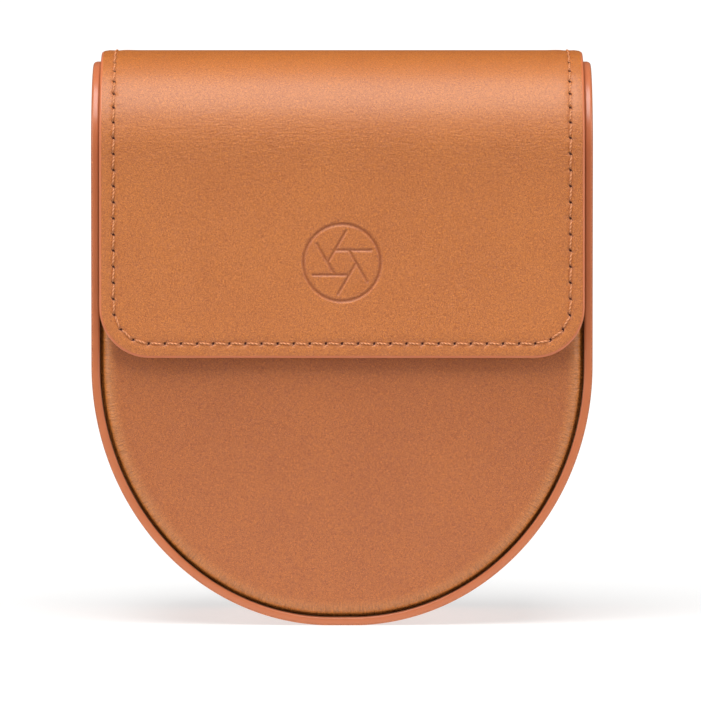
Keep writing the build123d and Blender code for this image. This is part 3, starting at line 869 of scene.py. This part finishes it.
# Bonded leather fibre board: compressed grey-brown fibres, under a millimetre, in a rubbery binder.
BOARD = filling("bonded_fibre_board", "TexNoise", {"Scale": 1 / (0.8 * MM), "Detail": 4.0, "Distortion": 2.0},
                "#5A4532", "#8A6E52", depth=0.05, roughness=0.85)
slots = {"leather": ("tan_leather", FLAP_LEATHER), "core": ("fibre_core", BOARD),
         "lining": ("microsuede_lining", SUEDE), "painted_edge": ("tan_leather", LIT_FLAP_PAINT),
         "thread": ("sewing_thread", None)}
for half in (front_flap, back_flap):
    for layer, (slot, finish) in slots.items():
        if finish:
            half[layer].data.materials.append(finish)
for layer, node in (("leather", "leather"), ("core", "core"), ("lining", "lining"), ("thread", "stitching")):
    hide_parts("flap_front_" + node)
    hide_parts("flap_tail_" + node, "flap_roll_" + node)

# ==================================================================== front and back panels
# Each panel is a U of leather turned in over foam and board. The front one is padded and
# crowned, rolls into a groove beside the wall, and has a sewn mouth. The back one is flat.
PANEL_INSET = 1.9      # from the outside of the wall to a panel's lining
PANEL_SKIN, PANEL_LINING = 1.1, 0.5
GROOVE, BACK_GROOVE = 0.55, 0.2  # gap between the wall and a panel's leather


def u_outline(inset, top, around, across):
    """Points round the U, inset from the wall's outside, and back along a straight top."""
    reach = u_line(top)
    sides = place(reach, np.linspace(0, reach["length"], around), np.full(around, inset))
    back = np.linspace(sides[-1, 0], sides[0, 0], across + 2)[1:-1]
    return np.concatenate([sides, np.stack([back, np.full(across, top)], -1)])


def u_panel(name, inset, top, pitch, profile, grid):
    """A flat U in rows that follow a profile of (distance in, fall), with a grid over its middle."""
    around, across = round(u_line(top)["length"] / pitch), round(2 * WALL_HALF / pitch)
    bpy.ops.object.select_all(action="DESELECT")
    bpy.ops.mesh.primitive_circle_add(vertices=around + across, radius=1, fill_type="NOTHING")
    piece = named(name)
    rows = [np.column_stack([u_outline(inset + d, top - d, around, across), np.full(around + across, -fall)])
            for d, fall in profile]
    open_up(piece, "EDGE")
    for _ in rows[1:]:
        bpy.ops.mesh.extrude_edges_move()
    bpy.ops.mesh.edge_face_add()
    close_up()
    put(piece, np.concatenate(rows))
    halves = [u_line(top - d)["length"] / 2 for d, _ in profile]
    mark(piece, "along_edge", np.concatenate(
        [np.append(np.linspace(-half, half, around), row[around:, 0]) for half, row in zip(halves, rows)]))
    mark(piece, "from_edge", np.repeat([d for d, _ in profile], around + across))
    turned = [float(fall < profile[0][1] and k < len(profile) - 1) for k, (_, fall) in enumerate(profile)]
    mark(piece, "turned", np.repeat(turned, around + across))
    open_up(piece)
    for axis, span in ((0, (-WALL_HALF, WALL_HALF)), (1, (0, top))):
        for cut in np.arange(span[0] + grid / 2, span[1], grid):
            choose(piece, "faces", lambda face: len(face.verts) > 4
                   or face.calc_area() > 3.2 * (pitch * MM) ** 2)
            spot, normal = [0, 0, 0], [0, 0, 0]
            spot[axis], normal[axis] = cut * MM, 1
            bpy.ops.mesh.bisect(plane_co=spot, plane_no=normal)
    bpy.ops.mesh.select_all(action="SELECT")
    bpy.ops.mesh.normals_make_consistent(inside=False)
    close_up()
    if sum(face.normal.z * face.area for face in piece.data.polygons) < 0:
        turn_out(piece)
    chart(piece)
    return piece


def rolled(radius, depth, flat_rows, foot):
    """The profile of a turned-in edge: its foot reaches out, then it rolls up and onto the face."""
    side = [(-foot * min(1, (fall - radius) / 0.8), fall)
            for fall in (*np.linspace(depth, radius + 0.8, 3), radius + 0.4)]
    turns = np.linspace(0, math.pi / 2, 9)
    return (side + [(radius * (1 - math.cos(t)), radius * (1 - math.sin(t))) for t in turns]
            + [(radius + 0.5 * k, 0) for k in range(1, flat_rows + 1)])


def stand_up(piece, front):
    """Turns flat work upright: Y becomes Z, and height faces the front or the back."""
    flat = coordinates(piece)
    put(piece, np.stack([flat[:, 0], -flat[:, 2] if front else flat[:, 2], flat[:, 1]], -1))
    if not front:
        turn_out(piece)


MOUTH = 100.0          # top edge of the front panel
APEX = 24.5            # highest point of the padding in front of the middle of the case
CROWN_RADIUS, SIDE_RADIUS, CROWN_HEIGHT = 900.0, 2400.0, 44.0
PANEL_BACK = 18.9      # inner face of a panel's leather
FRONT_ROLL, FRONT_DEPTH = 2.2, 5.2
PUCKERS, PUCKER_WIDTH, PUCKER_DEPTH = 900, 0.45, 0.10
front_cover = u_panel("front_panel_leather", PANEL_INSET + GROOVE, MOUTH, pitch=0.6,
                      profile=rolled(FRONT_ROLL, FRONT_DEPTH, flat_rows=3, foot=0.58), grid=3.0)
MOUTH_HALF = 47.2
mouth_holes = holes_along(former([(-MOUTH_HALF, MOUTH - SEAM_MARGIN), (MOUTH_HALF, MOUTH - SEAM_MARGIN)]))


def crown(flat):
    """Height of the padded face over a flat point: full at the sides and foot, lower at the mouth."""
    rise = flat[:, 1] - CROWN_HEIGHT
    radius = np.where(rise > 0, CROWN_RADIUS, SIDE_RADIUS)
    return APEX - flat[:, 0] ** 2 / (2 * SIDE_RADIUS) - rise ** 2 / (2 * radius)


refine(front_cover, lambda p: (np.abs(p[:, 1] - MOUTH + SEAM_MARGIN) < 1.2)
       & (np.abs(p[:, 0]) < MOUTH_HALF + 1.3), cuts=4)
chart(front_cover)
sew(front_cover, [mouth_holes])
flat = coordinates(front_cover)
fall = -flat[:, 2]
pucker = np.random.default_rng(11).normal(size=PUCKERS)
pucker = np.convolve(pucker, [0.25, 0.5, 0.25], "same")
around = np.arctan2(flat[:, 1] - SPRING, flat[:, 0]) * 52 / PUCKER_WIDTH
at_edge = np.exp(-((fall - 0.7) / 0.9) ** 2)
flat[:, 2] = np.maximum(crown(flat) - fall, PANEL_BACK + 0.05 + 0.02 * (FRONT_DEPTH - fall))
flat[:, 2] += PUCKER_DEPTH * at_edge * np.interp(around, np.arange(PUCKERS) - PUCKERS // 2, pucker)
put(front_cover, flat)
stand_up(front_cover, True)
thicken(front_cover, PANEL_SKIN)
smooth(front_cover, 50)
PANEL_LEATHER = tan_leather("tan_cowhide_panel", "#954304", "#C97021", turned=True)
front_cover.data.materials.append(PANEL_LEATHER)
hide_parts("front_leather")
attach(front_cover, "case")

mouth_thread = thread("mouth_thread", [mouth_holes], height=-0.08)
raise_by(mouth_thread, crown(coordinates(mouth_thread)))
stand_up(mouth_thread, True)
smooth(mouth_thread, 80)
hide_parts("mouth_stitching")
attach(mouth_thread, "case")

BACK_TOP, BACK_PROUD = 100.6, 0.15
back_cover = u_panel("back_panel_leather", PANEL_INSET + BACK_GROOVE, BACK_TOP, pitch=0.8,
                     profile=rolled(1.7, 4.0, flat_rows=2, foot=0.2), grid=6.0)
raise_by(back_cover, RIM + BACK_PROUD)
stand_up(back_cover, False)
thicken(back_cover, PANEL_SKIN)
smooth(back_cover, 50)
back_cover.data.materials.append(PANEL_LEATHER)
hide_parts("back_leather")
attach(back_cover, "case")

LINING_FACE = 18.35    # inner face of a panel's lining
for side, top in (("front", MOUTH - 0.05), ("back", BACK_TOP - 0.05)):
    sheet = u_panel(f"{side}_suede_lining", PANEL_INSET, top, pitch=2.0, profile=[(0, 0), (0.6, 0)], grid=8.0)
    raise_by(sheet, LINING_FACE + PANEL_LINING)
    stand_up(sheet, side == "front")
    thicken(sheet, PANEL_LINING)
    smooth(sheet)
    sheet.data.materials.append(SUEDE)
    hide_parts(f"{side}_lining")
    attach(sheet, "case")

# ==================================================================== belt loop
# A strap of the same leather with its own lining, sewn flat to the back at both ends and
# standing six millimetres off it in the middle, so that a belt slides through.
LOOP_HALF = 19.0
LOOP_BOTTOM, LOOP_TOP = 17.0, 79.0
LOOP_END, LOOP_RISE, LOOP_RAMP, LOOP_BEND = 9.0, 6.0, 5.0, 3.0
LOOP_LINING, LOOP_SKIN, LOOP_CORNER = 0.9, 1.2, 3.0
LOOP_MARGIN = 2.2      # from a row of stitches to the end of the strap
LOOP_FACE = RIM + 0.2 + LOOP_LINING + LOOP_SKIN
slope = math.degrees(math.atan2(LOOP_RISE, LOOP_RAMP))
bend_arc = LOOP_BEND * math.radians(slope)
bend_cut = LOOP_BEND * math.tan(math.radians(slope) / 2)
ramp = math.hypot(LOOP_RISE, LOOP_RAMP) - 2 * bend_cut
end_leg = LOOP_END - bend_cut
middle_leg = LOOP_TOP - LOOP_BOTTOM - 2 * (LOOP_END + LOOP_RAMP) - 2 * bend_cut
LOOP_FORMER = former(trace(
    (LOOP_FACE, LOOP_BOTTOM), 90, (end_leg, 0), (bend_arc, -slope), (ramp, 0), (bend_arc, slope),
    (middle_leg, 0), (bend_arc, slope), (ramp, 0), (bend_arc, -slope), (end_leg, 0)))
LOOP_LENGTH = LOOP_FORMER["length"]


def lay_loop(piece):
    """Bends flat work to the loop's shape, with its top end up and its face to the back."""
    lay_over(piece, LOOP_FORMER, -1, across=-1)


loop_edge_row = LOOP_HALF - SEAM_MARGIN
loop_rows = []
for low, high in ((LOOP_MARGIN, LOOP_END - LOOP_MARGIN),
                  (LOOP_LENGTH - LOOP_END + LOOP_MARGIN, LOOP_LENGTH - LOOP_MARGIN)):
    for at in (low, high):
        loop_rows.append(holes_along(former([(-loop_edge_row, at), (loop_edge_row, at)])))
    for x in (-loop_edge_row, loop_edge_row):
        loop_rows.append(holes_along(former([(x, low), (x, high)])))



def at_sewn_end(p):
    from_end = np.minimum(p[:, 1], LOOP_LENGTH - p[:, 1])
    return (from_end < LOOP_END - 1) & (from_end > 1) & (np.abs(p[:, 0]) < LOOP_HALF - 1.6)


loop = blank("belt_loop_leather_face", LOOP_HALF, 0, LOOP_LENGTH, LOOP_CORNER, pitch=0.9)
refine(loop, at_sewn_end, cuts=3)
chart(loop)
sew(loop, loop_rows)
inset = inset_of(coordinates(loop) - (0, LOOP_LENGTH / 2, 0), LOOP_HALF, LOOP_LENGTH / 2, LOOP_CORNER)
raise_by(loop, -0.35 * np.clip(1 - inset / 1.8, 0, 1) ** 2.2)
lay_loop(loop)
thicken(loop, LOOP_SKIN - 0.3)
smooth(loop)
loop.data.materials.append(PANEL_LEATHER)
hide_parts("belt_loop_leather")

loop_lining = blank("belt_loop_suede", LOOP_HALF - 0.15, 0.15, LOOP_LENGTH - 0.15, LOOP_CORNER, pitch=1.5)
chart(loop_lining)
raise_by(loop_lining, 0.2 - LOOP_SKIN)
lay_loop(loop_lining)
thicken(loop_lining, LOOP_LINING + 0.1)
smooth(loop_lining)
loop_lining.data.materials.append(SUEDE)
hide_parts("belt_loop_lining")

loop_edge = edge_band("belt_loop_painted_edge", LOOP_HALF + 0.05, -0.05, LOOP_LENGTH + 0.05, LOOP_CORNER,
                      open_start=False, rise=1.8, width=0.7)
round_edges(loop_edge, radius=0.33)
raise_by(loop_edge, -LOOP_SKIN - LOOP_LINING)
chart(loop_edge)
lay_loop(loop_edge)
smooth(loop_edge, 60)
loop_edge.data.materials.append(EDGE_PAINT)

loop_thread = thread("belt_loop_thread", loop_rows, height=-0.08)
lay_loop(loop_thread)
smooth(loop_thread, 80)
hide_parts("belt_loop_stitching")
for piece, slot in ((loop, "tan_leather"), (loop_lining, "microsuede_lining"), (loop_edge, "tan_leather"),
                    (loop_thread, "sewing_thread")):
    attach(piece, "case")

# ==================================================================== hidden layers
# Inside the leather lie fibre boards, foam pads, and the magnets with their keepers. They keep
# their CAD shapes, and show only where a bent flap or an open seam lets one look in.

# Polyether foam: pale yellow open cells about half a millimetre across.
FOAM = filling("polyether_foam", "TexVoronoi", {"Scale": 1 / (0.5 * MM)},
               "#B79B62", "#E8D8A6", depth=0.15, roughness=0.95)


# Nickel plate on pressed steel: a warm grey mirror, dulled by fine scratches from the tumbler.
def nickel_plate():
    surface, tree, shader = material("tumbled_nickel_plate")
    spot = add(tree, "TexCoord", out="Object")
    haze = add(tree, "TexNoise", {"Vector": spot, "Scale": 1 / (0.6 * MM), "Detail": 5.0})
    rough = add(tree, "MapRange", {"Value": haze, "To Min": 0.18, "To Max": 0.42})
    fill(shader, {"Roughness": rough, "Base Color": linear("#C9C3B8"), "Metallic": 1.0})
    return surface


NICKEL = nickel_plate()
for finish, nodes in ((BOARD, "gusset_core front_board back_board"), (FOAM, "front_padding back_padding"),
                      (NICKEL, "flap_magnet_left flap_magnet_right magnet_keeper_left magnet_keeper_right")):
    for node in nodes.split():
        bpy.data.objects[node].material_slots[0].material = finish

# ==================================================================== floor, light and camera
# A white sweep, one broad light overhead for the glow on the roll-over, and soft lights at the sides.
bpy.ops.object.select_all(action="DESELECT")
bpy.ops.mesh.primitive_circle_add(vertices=96, radius=0.24, fill_type="NGON")
floor = named("floor")
floor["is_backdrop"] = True
surface, tree, shader = material("white_sweep")
fill(shader, {"Base Color": linear("#A0A09F"), "Emission Color": linear("#FFFFFF"),
              "Emission Strength": 0.64, "Roughness": 0.9})
floor.data.materials.append(surface)

world = bpy.data.worlds.new("white_studio")
world.use_nodes = True
bpy.context.scene.world = world
sky = world.node_tree
seen = add(sky, "LightPath")
level = add(sky, "MapRange", {"Value": seen, "To Min": 0.07, "To Max": 1.1})
fill(sky.nodes["Background"], {"Color": (1, 1, 1, 1), "Strength": level})


def softbox(name, spot, aim, width, height, watts):
    """A rectangular soft light that faces a point."""
    light = bpy.data.lights.new(name, "AREA")
    light.shape = "RECTANGLE"
    light.size, light.size_y, light.energy = width, height, watts
    lamp = bpy.data.objects.new(name, light)
    bpy.context.scene.collection.objects.link(lamp)
    lamp.location = spot
    lamp.rotation_euler = (Vector(aim) - Vector(spot)).to_track_quat("-Z", "Y").to_euler()


MIDDLE = (0, 0, 0.06)
softbox("overhead", (-0.15, -0.76, 1.92), (0, -0.01, 0.1), width=1.5, height=1.6, watts=53.5)
softbox("front_fill", (-1.3, -1.6, 0.5), MIDDLE, width=1.2, height=1.0, watts=0.3)
softbox("right_edge", (0.85, -0.35, 0.3), MIDDLE, width=0.5, height=0.8, watts=4.0)
softbox("left_edge", (-0.85, -0.38, 0.3), MIDDLE, width=0.5, height=0.8, watts=4.0)

DISTANCE, ELEVATION = 1.6, math.radians(3.0)
FRAME_WIDTH = 0.1525
aim = Vector((1.85 * MM, -RIM * MM, 60.0 * MM))
camera = bpy.data.cameras.new("camera")
camera.sensor_width = 36
camera.lens = 36 * DISTANCE / FRAME_WIDTH
camera.clip_end = 20
eye = bpy.data.objects.new("camera", camera)
bpy.context.scene.collection.objects.link(eye)
eye.location = aim + DISTANCE * Vector((0, -math.cos(ELEVATION), math.sin(ELEVATION)))
eye.rotation_euler = (aim - eye.location).to_track_quat("-Z", "Y").to_euler()
bpy.context.scene.camera = eye
bpy.context.scene.view_settings.view_transform = "Standard"

low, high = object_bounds()
